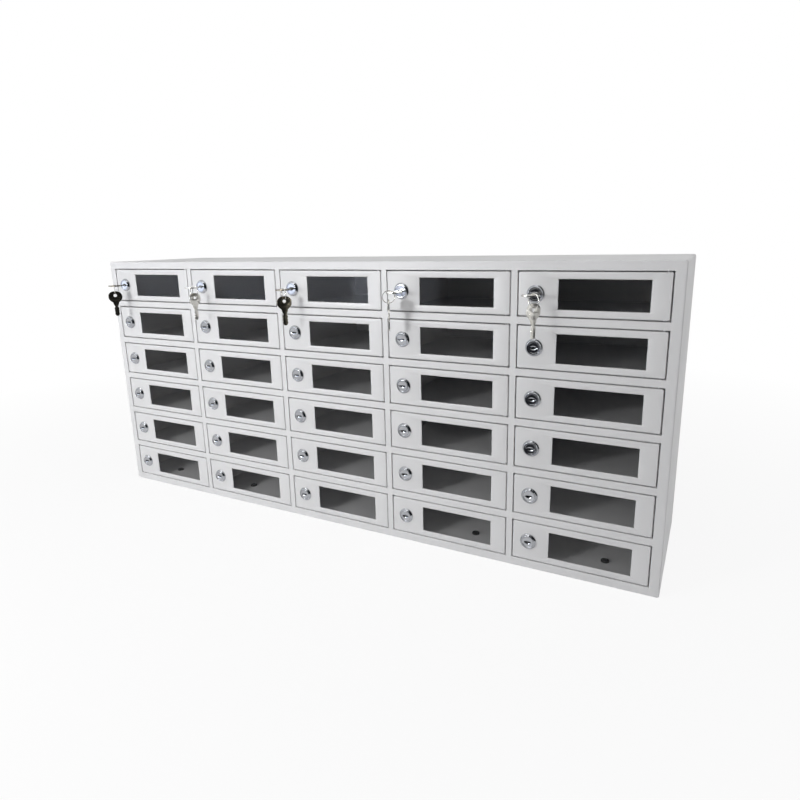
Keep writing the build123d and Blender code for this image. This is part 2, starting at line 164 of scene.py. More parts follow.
for room_name, corners, tone, grain_share in MIRRORED_ROOM_CARDS:
    room_mesh = bpy.data.meshes.new(room_name)
    room_mesh.from_pydata(corners, [], [tuple(range(len(corners)))])
    reflection_card = bpy.data.objects.new(room_name, room_mesh)
    scene.collection.objects.link(reflection_card)
    room_mat, nn, ll, room_end = material(room_name)
    room_place = nn.new("ShaderNodeTexCoord")
    room_noise = nn.new("ShaderNodeTexNoise")
    room_noise.inputs["Scale"].default_value = 26.0
    room_noise.inputs["Detail"].default_value = 4.0
    room_ramp = nn.new("ShaderNodeValToRGB")
    room_ramp.color_ramp.elements[0].position = 0.35
    room_ramp.color_ramp.elements[1].position = 0.65
    for part, scale in ((0, 1 - grain_share), (1, 1 + grain_share)):
        value = tone * scale / 3
        room_ramp.color_ramp.elements[part].color = (value, value * 1.07, value * 1.24, 1)
    # Each card glows although it is no lamp: its tone is a painted reflection in the panes and chrome.
    reflection_glow = nn.new("ShaderNodeEmission")
    reflection_glow.inputs["Strength"].default_value = 3.0
    ll.new(room_place.outputs["Object"], room_noise.inputs["Vector"])
    ll.new(room_noise.outputs["Fac"], room_ramp.inputs[0])
    ll.new(room_ramp.outputs["Color"], reflection_glow.inputs["Color"])
    ll.new(reflection_glow.outputs[0], room_end.inputs[0])
    room_mesh.materials.append(room_mat)
    reflection_card.visible_camera = False
    reflection_card.visible_diffuse = False
    reflection_card.visible_shadow = False
    reflection_card.visible_transmission = False

# Name, place, aimed at, size in metres and watts of each soft box.
LIGHTS = [("soft_box_left", (-1.1, -1.5, 1.9), (-0.1, 0.0, 0.2), 0.9, 8),
          ("soft_box_front", (-0.45, -1.23, 0.5), (0.0, 0.0, 0.15), 0.26, 6.4),
          ("soft_box_top", (0.5, -0.6, 2.4), (0.1, 0.0, 0.2), 1.8, 9),
          ("soft_box_right", (2.6, -0.8, 1.0), (0.48, 0.0, 0.2), 1.2, 5)]
for light_name, place, aim, size, power in LIGHTS:
    lamp = bpy.data.lights.new(light_name, "AREA")
    lamp.shape = "SQUARE"
    lamp.size = size
    lamp.energy = power
    lamp_object = bpy.data.objects.new(light_name, lamp)
    lamp_object.location = place
    lamp_object.rotation_euler = (Vector(aim) - Vector(place)).to_track_quat("-Z", "Y").to_euler()
    scene.collection.objects.link(lamp_object)

# Camera at the photograph's angle: in front of the right-hand part, a little above the top row.
CAMERA_AT = (0.51222, -0.84832, 0.44962)
CAMERA_RIGHT = (0.88904856, 0.45735886, -0.02038436)
CAMERA_DOWN = (0.08966779, -0.21762058, -0.97190584)
CAMERA_AHEAD = (-0.44894581, 0.86224367, -0.23448563)
lens = bpy.data.cameras.new("camera")
lens.sensor_fit = "HORIZONTAL"
lens.sensor_width = 36.0
lens.lens = 26.587
lens.shift_x = -0.00922
lens.shift_y = -0.02060
lens.clip_start = 0.02
camera = bpy.data.objects.new("camera", lens)
turn = Matrix((CAMERA_RIGHT, [-v for v in CAMERA_DOWN], [-v for v in CAMERA_AHEAD])).transposed()
camera.matrix_world = Matrix.Translation(CAMERA_AT) @ turn.to_4x4()
scene.collection.objects.link(camera)
scene.camera = camera

# --- White powder coat ----------------------------------------------------------------------
# Every sheet of the cabinet is folded steel with a baked white powder coat, which lies a little
# uneven, like fine orange peel, and carries faint dust and cleaning marks.


def node_group(name, inputs, outputs):
    """Empty shader group with float inputs (name, value) and outputs (name, socket type)."""
    made = bpy.data.node_groups.new(name, "ShaderNodeTree")
    for label, value in inputs:
        socket = made.interface.new_socket(label, in_out="INPUT", socket_type="NodeSocketFloat")
        socket.default_value = value
    for label, kind in outputs:
        made.interface.new_socket(label, in_out="OUTPUT", socket_type=kind)
    return made, made.nodes.new("NodeGroupInput"), made.nodes.new("NodeGroupOutput")


# Two noises on Object coordinates: a fine one for the peel and a broad one for dust and marks.
peel, peel_in, peel_out = node_group(
    "peel_and_dust", [("Peel Scale", 700.0), ("Peel Height", 0.02), ("Dust Scale", 9.0)],
    [("Normal", "NodeSocketVector"), ("Dust", "NodeSocketFloat"), ("Peel", "NodeSocketFloat")])
place = peel.nodes.new("ShaderNodeTexCoord")
fine = peel.nodes.new("ShaderNodeTexNoise")
fine.inputs["Detail"].default_value = 2.0
broad = peel.nodes.new("ShaderNodeTexNoise")
broad.inputs["Detail"].default_value = 5.0
broad.inputs["Roughness"].default_value = 0.6
raised = peel.nodes.new("ShaderNodeBump")
raised.inputs["Distance"].default_value = 0.0006
peel.links.new(place.outputs["Object"], fine.inputs["Vector"])
peel.links.new(place.outputs["Object"], broad.inputs["Vector"])
peel.links.new(peel_in.outputs["Peel Scale"], fine.inputs["Scale"])
peel.links.new(peel_in.outputs["Dust Scale"], broad.inputs["Scale"])
peel.links.new(peel_in.outputs["Peel Height"], raised.inputs["Strength"])
peel.links.new(fine.outputs["Fac"], raised.inputs["Height"])
peel.links.new(raised.outputs["Normal"], peel_out.inputs["Normal"])
peel.links.new(broad.outputs["Fac"], peel_out.inputs["Dust"])
peel.links.new(fine.outputs["Fac"], peel_out.inputs["Peel"])


def blend_of(nodes, links, mask, low, high, colour=False):
    """Map a 0.3 to 0.7 mask onto two values, or onto two colours."""
    if colour:
        ramp = nodes.new("ShaderNodeValToRGB")
        ramp.color_ramp.elements[0].position = 0.3
        ramp.color_ramp.elements[0].color = (*low, 1)
        ramp.color_ramp.elements[1].position = 0.7
        ramp.color_ramp.elements[1].color = (*high, 1)
        links.new(mask, ramp.inputs[0])
        return ramp.outputs["Color"]
    spread = nodes.new("ShaderNodeMapRange")
    spread.inputs["From Min"].default_value = 0.3
    spread.inputs["From Max"].default_value = 0.7
    spread.inputs["To Min"].default_value = low
    spread.inputs["To Max"].default_value = high
    links.new(mask, spread.inputs["Value"])
    return spread.outputs["Result"]


def powder_coat(name, low, high, rough, peel_height):
    """White powder coat between two near tones, with its peel and its dust."""
    made, nodes, links, end = material(name)
    coat = nodes.new("ShaderNodeBsdfPrincipled")
    uneven = nodes.new("ShaderNodeGroup")
    uneven.node_tree = peel
    uneven.inputs["Peel Height"].default_value = peel_height
    links.new(blend_of(nodes, links, uneven.outputs["Dust"], low, high, True), coat.inputs["Base Color"])
    links.new(blend_of(nodes, links, uneven.outputs["Dust"], rough + 0.05, rough - 0.05),
              coat.inputs["Roughness"])
    links.new(uneven.outputs["Normal"], coat.inputs["Normal"])
    links.new(coat.outputs[0], end.inputs[0])
    return made


shell_coat = powder_coat("shell_coat", (0.735, 0.735, 0.74), (0.77, 0.77, 0.775), 0.42, 0.10)
door_coat = powder_coat("door_coat", (0.725, 0.725, 0.73), (0.76, 0.76, 0.765), 0.40, 0.12)


def dress(node, finish):
    """Give a CAD node one finish on all its faces."""
    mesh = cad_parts[node].data
    mesh.materials.clear()
    mesh.materials.append(finish)


# --- Cabinet body ---------------------------------------------------------------------------
# The side, top, base and back panels, the front stiles, the partitions and the shelves whose
# folded front edges form the rails: 1.2 and 1.0 mm sheet, folded and spot welded, then coated.
for node in ("top_panel", "base_panel", "left_side_panel", "right_side_panel", "back_panel",
             "front_stiles", "shelves", "partitions"):
    dress(node, shell_coat)

# --- Doors ----------------------------------------------------------------------------------
# Each door is a shallow pan folded from 1.2 mm sheet, 178.6 by 55.1 mm and 14 mm deep, with a
# punched window and a lock hole, coated like the cabinet. It turns on two pins at its right.
DOOR_W = 178.6
DOOR_H = 55.1
DOOR_DEEP = 14.0
SHEET = 1.2
DOOR_CORNER = 1.6
FOLD = 0.9
WINDOW_W = 107.0
WINDOW_H = 37.8
WINDOW_AT = 103.55
LOCK_AT = 22.0
PIN_IN = 5.0
PIN_BEHIND = 4.0
PIN_HOLE_R = 1.55
LOCK_HOLE_R = 9.6
PITCH_X = 190.0
PITCH_Z = 68.1
FIRST_X = -469.3
FIRST_Z = 354.3
FRONT_Y = -112.5


def door_place(col, row):
    """Lower left front corner of a door, in millimetres."""
    return np.array([FIRST_X + col * PITCH_X, FRONT_Y, FIRST_Z - row * PITCH_Z])


def strip_faces(rows, cols, wrap_rows, wrap_cols):
    """Quads of a grid of points numbered row by row, closed across rows or columns if asked."""
    i = np.arange(rows if wrap_rows else rows - 1)[:, None]
    j = np.arange(cols if wrap_cols else cols - 1)[None, :]
    a = i * cols + j
    b = i * cols + (j + 1) % cols
    c = ((i + 1) % rows) * cols + (j + 1) % cols
    d = ((i + 1) % rows) * cols + j
    return np.stack([a, b, c, d], -1).reshape(-1, 4)


def surface_mesh(name, grids, sharp=40.0):
    """Mesh from grids of points in millimetres, each (points, wrap rows, wrap columns, caps).
    Doubles are merged, so seams and poles close, and all normals are turned outwards."""
    bm = bmesh.new()
    for points, wrap_rows, wrap_cols, caps in grids:
        rows, cols = points.shape[:2]
        verts = [bm.verts.new(p) for p in (points.reshape(-1, 3) * MM).tolist()]
        for quad in strip_faces(rows, cols, wrap_rows, wrap_cols).tolist():
            if len(set(quad)) == 4:
                bm.faces.new([verts[k] for k in quad])
        if caps:
            bm.faces.new([verts[k] for k in range(cols)])
            bm.faces.new([verts[(rows - 1) * cols + k] for k in range(cols)])
    bmesh.ops.remove_doubles(bm, verts=bm.verts, dist=1e-7)
    bmesh.ops.recalc_face_normals(bm, faces=bm.faces)
    mesh = bpy.data.meshes.new(name)
    bm.to_mesh(mesh)
    bm.free()
    finish_shade(mesh, sharp)
    return mesh


def finish_shade(mesh, sharp):
    """Smooth shading, kept crisp at edges sharper than the angle."""
    mesh.shade_smooth()
    mesh.set_sharp_from_angle(angle=math.radians(sharp))


def add_piece(name, mesh, body, finish):
    """Object for a finished mesh: one material, riding on a body."""
    mesh.materials.clear()
    mesh.materials.append(finish)
    piece = bpy.data.objects.new(name, mesh)
    scene.collection.objects.link(piece)
    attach(piece, body)
    return piece


def moved_copy(mesh, name, offset):
    """Copy of a mesh shifted by an offset in millimetres."""
    made = mesh.copy()
    made.name = name
    co = np.empty(len(made.vertices) * 3, np.float32)
    made.vertices.foreach_get("co", co)
    co = co.reshape(-1, 3) + np.asarray(offset, np.float32) * MM
    made.vertices.foreach_set("co", co.ravel())
    made.update()
    return made


def rounded_loop(xs, zs, radius, y, steps=5):
    """Rounded rectangle as a closed loop: four quarter circles joined by its straight sides."""
    angle = np.linspace(0, math.pi / 2, steps)
    parts = []
    for k, (cx, cz) in enumerate([(xs[1] - radius, zs[1] - radius), (xs[0] + radius, zs[1] - radius),
                                  (xs[0] + radius, zs[0] + radius), (xs[1] - radius, zs[0] + radius)]):
        a = angle + k * math.pi / 2
        parts.append(np.stack([cx + radius * np.cos(a), np.full(steps, y), cz + radius * np.sin(a)], -1))
    return np.concatenate(parts)


def inset_loop(inset, y, radius):
    """Loop of the door's outline moved in by an inset."""
    return rounded_loop((inset, DOOR_W - inset), (inset, DOOR_H - inset), max(radius - inset, 0.25), y)


def window_loop(grow, y):
    """Loop of the window cut-out, grown by an amount."""
    x0, x1 = WINDOW_AT - WINDOW_W / 2 - grow, WINDOW_AT + WINDOW_W / 2 + grow
    z0, z1 = (DOOR_H - WINDOW_H) / 2 - grow, (DOOR_H + WINDOW_H) / 2 + grow
    return rounded_loop((x0, x1), (z0, z1), 0.35 + grow, y)


def subtract(mesh, cutters):
    """Mesh less the solids of the cutters, worked out once."""
    target = bpy.data.objects.new("cut_target", mesh)
    scene.collection.objects.link(target)
    tools = []
    for k, cutter in enumerate(cutters):
        tool = bpy.data.objects.new(f"cutter_{k}", cutter)
        scene.collection.objects.link(tool)
        tools.append(tool)
        step = target.modifiers.new("cut", "BOOLEAN")
        step.operation = "DIFFERENCE"
        step.solver = "EXACT"
        step.object = tool
    bpy.context.view_layer.update()
    done = bpy.data.meshes.new_from_object(target.evaluated_get(bpy.context.evaluated_depsgraph_get()))
    for used in [target] + tools:
        bpy.data.objects.remove(used)
    return done


def rod(axis, radius, at, start, end, count=32):
    """Closed round rod along y or z as a grid: a circle carried from start to end."""
    a = np.linspace(0, 2 * math.pi, count, endpoint=False)
    ring = np.stack([radius * np.cos(a), np.zeros(count), radius * np.sin(a)], -1)
    if axis == "z":
        ring = ring[:, [0, 2, 1]]
    lift = np.array([0, 1, 0]) if axis == "y" else np.array([0, 0, 1])
    return np.stack([ring + np.array(at) + lift * start, ring + np.array(at) + lift * end]), False, True, True


fold = np.linspace(0, math.pi / 2, 5)
pan_loops = [window_loop(0, SHEET), window_loop(0, 0.35), window_loop(0.1, 0.1), window_loop(0.35, 0)]
pan_loops += [inset_loop(FOLD * (1 - math.sin(a)), FOLD * (1 - math.cos(a)), DOOR_CORNER) for a in fold]
pan_loops += [inset_loop(0, DOOR_DEEP - 0.15, DOOR_CORNER), inset_loop(0.15, DOOR_DEEP, DOOR_CORNER),
              inset_loop(SHEET - 0.15, DOOR_DEEP, DOOR_CORNER),
              inset_loop(SHEET, DOOR_DEEP - 0.15, DOOR_CORNER),
              inset_loop(SHEET, SHEET + 0.3, DOOR_CORNER), inset_loop(SHEET + 0.3, SHEET, DOOR_CORNER)]
pan_whole = surface_mesh("pan_whole", [(np.stack(pan_loops), True, True, False)], 30)
pin_hole = surface_mesh("pin_hole", [rod("z", PIN_HOLE_R, (DOOR_W - PIN_IN, PIN_BEHIND, 0), -1, DOOR_H + 1)])
lock_hole = surface_mesh("lock_hole", [rod("y", LOCK_HOLE_R, (LOCK_AT, 0, DOOR_H / 2), -1, SHEET + 1)])
pan_mesh = subtract(pan_whole, [pin_hole, lock_hole])
finish_shade(pan_mesh, 30)

# --- Window panes ---------------------------------------------------------------------------
# A 2 mm smoked acrylic plate behind each window, bonded to the back of the sheet. It is larger
# than the cut-out by 5 mm at each side and 4.35 mm above and below. Its face is polished, with a
# trace of fingermarks.
PANE_LAP_X = 5.0
PANE_LAP_Z = 4.35
PANE_THICK = 2.0
PANE_GAP = 0.02
PANE_EDGE = 0.15
PANE_TINT = 0.09
PANE_TINT_LIT = 0.01


def pane_loop(inset, y):
    """Loop of the pane's outline moved in by an inset."""
    x0, x1 = WINDOW_AT - WINDOW_W / 2 - PANE_LAP_X, WINDOW_AT + WINDOW_W / 2 + PANE_LAP_X
    z0, z1 = (DOOR_H - WINDOW_H) / 2 - PANE_LAP_Z, (DOOR_H + WINDOW_H) / 2 + PANE_LAP_Z
    return rounded_loop((x0 + inset, x1 - inset), (z0 + inset, z1 - inset), 1.0, y)


pane_front = SHEET + PANE_GAP
pane_back = pane_front + PANE_THICK
pane_loops = [pane_loop(PANE_EDGE, pane_front), pane_loop(0, pane_front + PANE_EDGE),
              pane_loop(0, pane_back - PANE_EDGE), pane_loop(PANE_EDGE, pane_back)]
pane_mesh = surface_mesh("pane", [(np.stack(pane_loops), False, True, True)], 30)
smoked, sn, sl, smoked_end = material("smoked_acrylic")
acrylic = sn.new("ShaderNodeBsdfPrincipled")
acrylic.inputs["IOR"].default_value = 1.49
marks = sn.new("ShaderNodeGroup")
marks.node_tree = peel
marks.inputs["Peel Height"].default_value = 0.004
marks.inputs["Peel Scale"].default_value = 300.0
marks.inputs["Dust Scale"].default_value = 28.0
sl.new(blend_of(sn, sl, marks.outputs["Dust"], (0.004, 0.005, 0.007), (0.008, 0.009, 0.011), True),
       acrylic.inputs["Base Color"])
sl.new(blend_of(sn, sl, marks.outputs["Dust"], 0.03, 0.07), acrylic.inputs["Roughness"])
sl.new(marks.outputs["Normal"], acrylic.inputs["Normal"])
# Shadow rays pass with less loss, so the daylight inside is as strong as behind thin clear sheet.
pane_path = sn.new("ShaderNodeLightPath")
pane_clear = sn.new("ShaderNodeMath")
pane_clear.operation = "MULTIPLY_ADD"
pane_clear.inputs[1].default_value = PANE_TINT_LIT - PANE_TINT
pane_clear.inputs[2].default_value = PANE_TINT
sl.new(pane_path.outputs["Is Shadow Ray"], pane_clear.inputs[0])
sl.new(pane_clear.outputs[0], acrylic.inputs["Alpha"])
acrylic.inputs["Specular IOR Level"].default_value = 1.0
sl.new(acrylic.outputs[0], smoked_end.inputs[0])

# --- Lock housings --------------------------------------------------------------------------
# A die-cast zinc barrel, 19 mm across with two flats, behind a chromed conical bezel 22.5 mm
# across, held in the door's hole by a hexagon nut on its thread.
BEZEL_R = 11.25
BEZEL_OUT = 4.0
BARREL_R = 9.5
BARREL_FLAT = 8.0
BARREL_END = 16.0
BORE_R = 6.4
THREAD_DEEP = 0.35
THREAD_STEP = 0.5
NUT_R = 13.86
NUT_HOLE_R = 9.55
NUT_FROM = 1.25
NUT_TO = 4.2
SEGMENTS = 48


def lathe(profile, count=SEGMENTS):
    """Solid of revolution about y: each (radius, y) of the profile carried round a circle."""
    p = np.array(profile, float)
    a = np.linspace(0, 2 * math.pi, count, endpoint=False)[None, :]
    r, y = p[:, :1], np.repeat(p[:, 1:], count, 1)
    return np.stack([r * np.cos(a), y, r * np.sin(a)], -1)


def arc_points(centre, radius, start, end, steps=5):
    """Points of an arc in a (radius, y) profile, angles in degrees."""
    a = np.radians(np.linspace(start, end, steps))
    return [(centre[0] + radius * math.cos(t), centre[1] + radius * math.sin(t)) for t in a]


bezel_profile = [(BORE_R, -0.4), (BORE_R, -2.1), (8.1, -2.2), (8.1, 0.25 - BEZEL_OUT)]
bezel_profile += arc_points((8.35, 0.25 - BEZEL_OUT), 0.25, 180, 270, 4)
bezel_profile += arc_points((8.75, 0.35 - BEZEL_OUT), 0.35, -90, -35, 4)
bezel_profile += [(9.6, -2.95), (10.7, -1.35)]
bezel_profile += arc_points((BEZEL_R - 0.5, -0.75), 0.5, -35, 0, 4)
bezel_profile += [(BEZEL_R, -0.1), (BEZEL_R - 0.1, 0.0), (BARREL_R, 0.0), (BARREL_R, -0.4)]
bezel_mesh = surface_mesh("bezel", [(lathe(bezel_profile), True, True, False)], 32)
thread = [(BARREL_R - THREAD_DEEP * (k % 2), NUT_FROM + THREAD_STEP * k) for k in range(29)]
barrel_front = [(BORE_R, 0.02), (BARREL_R - 0.2, 0.02), (BARREL_R, 0.5)]
barrel_grid = lathe(barrel_front + thread + [(BARREL_R - 0.2, BARREL_END), (BORE_R, BARREL_END)])
barrel_grid[..., 2] = np.clip(barrel_grid[..., 2], -BARREL_FLAT, BARREL_FLAT)
hexagon = np.radians(np.arange(0, 360, 60))
nut_ring = np.stack([NUT_R * np.cos(hexagon), 0 * hexagon, NUT_R * np.sin(hexagon)], -1)
nut_hole = np.stack([NUT_HOLE_R * np.cos(hexagon), 0 * hexagon, NUT_HOLE_R * np.sin(hexagon)], -1)


def six_sided(outer, inner, ys, chamfer):
    """Hexagon nut: outer and inner loops at two depths, with a chamfer on the outer edges."""
    y0, y1 = ys
    lift = lambda loop, y: loop + np.array([0, y, 0])
    return np.stack([lift(inner, y0), lift(outer * 0.97, y0), lift(outer, y0 + chamfer),
                     lift(outer, y1 - chamfer), lift(outer * 0.97, y1), lift(inner, y1)])


barrel_mesh = surface_mesh("barrel", [(barrel_grid, True, True, False)], 28)
nut_grid = six_sided(nut_ring, nut_hole, (NUT_FROM, NUT_TO), 0.4)
nut_mesh = surface_mesh("nut", [(nut_grid, True, True, False)], 20)

chrome, cn, cl, chrome_end = material("bright_chrome")
plating = cn.new("ShaderNodeBsdfPrincipled")
plating.inputs["Metallic"].default_value = 1.0
haze = cn.new("ShaderNodeGroup")
haze.node_tree = peel
haze.inputs["Peel Height"].default_value = 0.01
haze.inputs["Peel Scale"].default_value = 420.0
haze.inputs["Dust Scale"].default_value = 60.0
cl.new(blend_of(cn, cl, haze.outputs["Dust"], (0.36, 0.37, 0.39), (0.46, 0.47, 0.49), True),
       plating.inputs["Base Color"])
cl.new(blend_of(cn, cl, haze.outputs["Dust"], 0.05, 0.13), plating.inputs["Roughness"])
cl.new(haze.outputs["Normal"], plating.inputs["Normal"])
cl.new(plating.outputs[0], chrome_end.inputs[0])

zinc, zn, zl, zinc_end = material("zinc_plating")
dull = zn.new("ShaderNodeBsdfPrincipled")
dull.inputs["Metallic"].default_value = 1.0
grain = zn.new("ShaderNodeGroup")
grain.node_tree = peel
grain.inputs["Peel Height"].default_value = 0.2
grain.inputs["Peel Scale"].default_value = 900.0
grain.inputs["Dust Scale"].default_value = 45.0
zl.new(blend_of(zn, zl, grain.outputs["Dust"], (0.42, 0.42, 0.43), (0.60, 0.60, 0.60), True),
       dull.inputs["Base Color"])
zl.new(blend_of(zn, zl, grain.outputs["Dust"], 0.28, 0.46), dull.inputs["Roughness"])
zl.new(grain.outputs["Normal"], dull.inputs["Normal"])
zl.new(dull.outputs[0], zinc_end.inputs[0])

# --- Lock plugs, cams and screws ------------------------------------------------------------
# The plug turns in the housing: a 16 mm plated head with a stepped face, a lens-shaped dish and
# a keyway, and behind the barrel a 1.7 mm steel cam held by a cross-head screw.
PLUG_FACE = -3.7
PLUG_HEAD_R = 8.0
PLUG_HEAD_BACK = -2.3
PLUG_R = 6.25
PLUG_END = 16.5
KEYWAY_W = 9.0
KEYWAY_H = 2.2
DISH_W = 10.4
DISH_H = 5.6
plug_profile = [(0.0, PLUG_FACE + 0.3), (6.75, PLUG_FACE + 0.3), (7.0, PLUG_FACE + 0.12),
                (7.12, PLUG_FACE), (PLUG_HEAD_R - 0.2, PLUG_FACE), (PLUG_HEAD_R, PLUG_FACE + 0.2),
                (PLUG_HEAD_R, PLUG_HEAD_BACK), (PLUG_R, PLUG_HEAD_BACK), (PLUG_R, PLUG_END), (0.0, PLUG_END)]
plug_whole = surface_mesh("plug_whole", [(lathe(plug_profile), False, True, False)], 30)
lens_r = (DISH_W ** 2 + DISH_H ** 2) / (4 * DISH_H)


def lens_loop(scale, y, steps=13):
    """Outline of the dish: two equal arcs that meet in points at its left and right."""
    half = math.asin(DISH_W / 2 / lens_r)
    a = np.linspace(-half, half, steps)
    top = np.stack([lens_r * np.sin(a), 0 * a + y, lens_r * np.cos(a) - (lens_r - DISH_H / 2)], -1)
    low = np.stack([lens_r * np.sin(a[::-1]), 0 * a + y, -(lens_r * np.cos(a) - (lens_r - DISH_H / 2))], -1)
    loop = np.concatenate([top[:-1], low[:-1]])
    loop[:, [0, 2]] *= scale
    return loop


dish_cut = surface_mesh("dish_cut", [(np.stack([lens_loop(1.12, -4.2), lens_loop(1.0, PLUG_FACE + 0.3),
                                                lens_loop(0.8, PLUG_FACE + 0.75),
                                                lens_loop(0.45, PLUG_FACE + 0.95)]), False, True, True)])
slot_loops = [rounded_loop((-KEYWAY_W / 2, KEYWAY_W / 2), (-KEYWAY_H / 2, KEYWAY_H / 2), 0.3, y)
              for y in (-4.5, 12.5)]
slot_cut = surface_mesh("slot_cut", [(np.stack(slot_loops), False, True, True)])
plug_mesh = subtract(plug_whole, [dish_cut, slot_cut])
finish_shade(plug_mesh, 30)


def outline_plate(name, loop, ys, chamfer):
    """Flat plate: a closed (x, z) outline carried from one depth to another, edges chamfered."""
    loop = np.asarray(loop, float)
    centre = loop.mean(0)
    out = loop - centre
    small = centre + out * (1 - chamfer / np.maximum(np.linalg.norm(out, axis=1, keepdims=True), 1e-6))
    at = lambda p, y: np.stack([p[:, 0], np.full(len(p), y), p[:, 1]], -1)
    rings = [at(small, ys[0]), at(loop, ys[0] + chamfer), at(loop, ys[1] - chamfer), at(small, ys[1])]
    return surface_mesh(name, [(np.stack(rings), False, True, True)], 30)


CAM_HUB_R = 8.0
CAM_HALF = 6.0
CAM_SHOULDER = 19.5
CAM_ROUND = 2.5
CAM_BACK = 18.2
SCREW_R = 4.2
SCREW_TOP = 20.6
CROSS_HALF_LONG = 2.5
CROSS_HALF_WIDE = 0.45


def cam_corner(side, angles):
    """Rounded end corner of the cam on one side, as points on a quarter circle."""
    middle = side * (CAM_HALF - CAM_ROUND)
    return [(middle + CAM_ROUND * math.cos(t), CAM_SHOULDER + CAM_ROUND * math.sin(t))
            for t in np.radians(angles)]


hub = np.radians(np.linspace(138.6, 401.4, 25))
cam_loop = [(CAM_HUB_R * math.cos(a), CAM_HUB_R * math.sin(a)) for a in hub]
cam_loop += [(CAM_HALF, CAM_SHOULDER)] + cam_corner(1, [30, 60, 90])
cam_loop += cam_corner(-1, [90, 120, 150]) + [(-CAM_HALF, CAM_SHOULDER)]
cam_mesh = outline_plate("cam", cam_loop, (PLUG_END, CAM_BACK), 0.2)
head_profile = [(0.0, CAM_BACK), (SCREW_R, CAM_BACK), (SCREW_R, SCREW_TOP - 1.0),
                (SCREW_R - 0.3, SCREW_TOP - 0.4), (3.1, SCREW_TOP), (0.0, SCREW_TOP)]
screw_whole = surface_mesh("screw_whole", [(lathe(head_profile, 24), False, True, False)], 30)


def cross_cut(name, half_x, half_z):
    """Cutter for one arm of the cross in the screw's head."""
    loops = [rounded_loop((-half_x, half_x), (-half_z, half_z), 0.1, y) for y in (19.4, 21.5)]
    return surface_mesh(name, [(np.stack(loops), False, True, True)])


cross_cuts = [cross_cut("cross_0", CROSS_HALF_LONG, CROSS_HALF_WIDE),
              cross_cut("cross_1", CROSS_HALF_WIDE, CROSS_HALF_LONG)]
screw_mesh = subtract(screw_whole, cross_cuts)
finish_shade(screw_mesh, 30)

for col in range(COLUMNS):
    for row in range(ROWS):
        tag = f"row{row + 1}_col{col + 1}"
        door = f"door_{tag}"
        corner = door_place(col, row)
        lock = corner + np.array([LOCK_AT, 0, DOOR_H / 2])
        pan_here = moved_copy(pan_mesh, f"pan_{tag}", corner)
        pan = add_piece(f"pan_{tag}", pan_here, door, door_coat)
        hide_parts(door)
        add_piece(f"pane_{tag}", moved_copy(pane_mesh, f"pane_{tag}", corner), door, smoked)
        add_piece(f"bezel_{tag}", moved_copy(bezel_mesh, f"bezel_{tag}", lock), door, chrome)
        add_piece(f"barrel_{tag}", moved_copy(barrel_mesh, f"barrel_{tag}", lock), door, zinc)
        add_piece(f"nut_{tag}", moved_copy(nut_mesh, f"nut_{tag}", lock), door, zinc)
        turning = f"lock_cam_col{col + 1}" if row == 0 else door
        plug = add_piece(f"plug_{tag}", moved_copy(plug_mesh, f"plug_{tag}", lock), turning, chrome)
        if row == 0:
            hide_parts(turning)
        add_piece(f"cam_{tag}", moved_copy(cam_mesh, f"cam_{tag}", lock), turning, zinc)
        add_piece(f"screw_{tag}", moved_copy(screw_mesh, f"screw_{tag}", lock), turning, zinc)

# --- Keys -----------------------------------------------------------------------------------
# Stamped brass keys with a worn nickel plating, 44 mm long and 1.8 mm thick. One is in each lock
# of the top row, lying flat, and its spare hangs from a split ring through its bow.
KEY_THICK = 1.8
KEY_HOLE_AT = 7.5
KEY_HOLE_R = 2.75
KEY_OUT = 32.0
# Half of the outline as (distance from the top of the bow, half width).
BOW = [(0.0, 4.8), (3.0, 9.2), (6.4, 11.2), (12.8, 11.2), (17.2, 8.2), (20.0, 4.6)]
BLADE = [(22.5, 4.5), (25.0, 3.2), (27.0, 2.0), (29.0, 3.4), (31.0, 4.0), (33.0, 3.3),
         (35.0, 4.0), (37.5, 3.2), (39.5, 4.0), (42.5, 3.0), (44.0, 1.2)]


def flat_outline(name, loops, half_thick, bevel):
    """Plate from closed (x, y) outlines, the first outside and the rest holes, edges rounded."""
    curve = bpy.data.curves.new(name, "CURVE")
    curve.dimensions = "2D"
    curve.fill_mode = "BOTH"
    curve.extrude = (half_thick - bevel) * MM
    curve.bevel_depth = bevel * MM
    curve.bevel_resolution = 2
    curve.offset = -bevel * MM
    for loop in loops:
        spline = curve.splines.new("POLY")
        spline.points.add(len(loop) - 1)
        co = np.zeros((len(loop), 4), np.float32)
        co[:, :2] = np.asarray(loop) * MM
        co[:, 3] = 1
        spline.points.foreach_set("co", co.ravel())
        spline.use_cyclic_u = True
    holder = bpy.data.objects.new(name, curve)
    scene.collection.objects.link(holder)
    bpy.context.view_layer.update()
    mesh = bpy.data.meshes.new_from_object(holder.evaluated_get(bpy.context.evaluated_depsgraph_get()))
    bpy.data.objects.remove(holder)
    bm = bmesh.new()
    bm.from_mesh(mesh)
    bmesh.ops.remove_doubles(bm, verts=bm.verts, dist=1e-6)
    bmesh.ops.recalc_face_normals(bm, faces=bm.faces)
    bm.to_mesh(mesh)
    bm.free()
    finish_shade(mesh, 35)
    return mesh


half_line = np.array([(h, s) for s, h in BOW + BLADE])


def softened(points, times=2):
    """Outline with its corners cut back: each point becomes two, a fifth in from the corner."""
    for _ in range(times):
        after = np.roll(points, -1, 0)
        points = np.stack([points * 0.8 + after * 0.2, points * 0.2 + after * 0.8], 1).reshape(-1, 2)
    return points


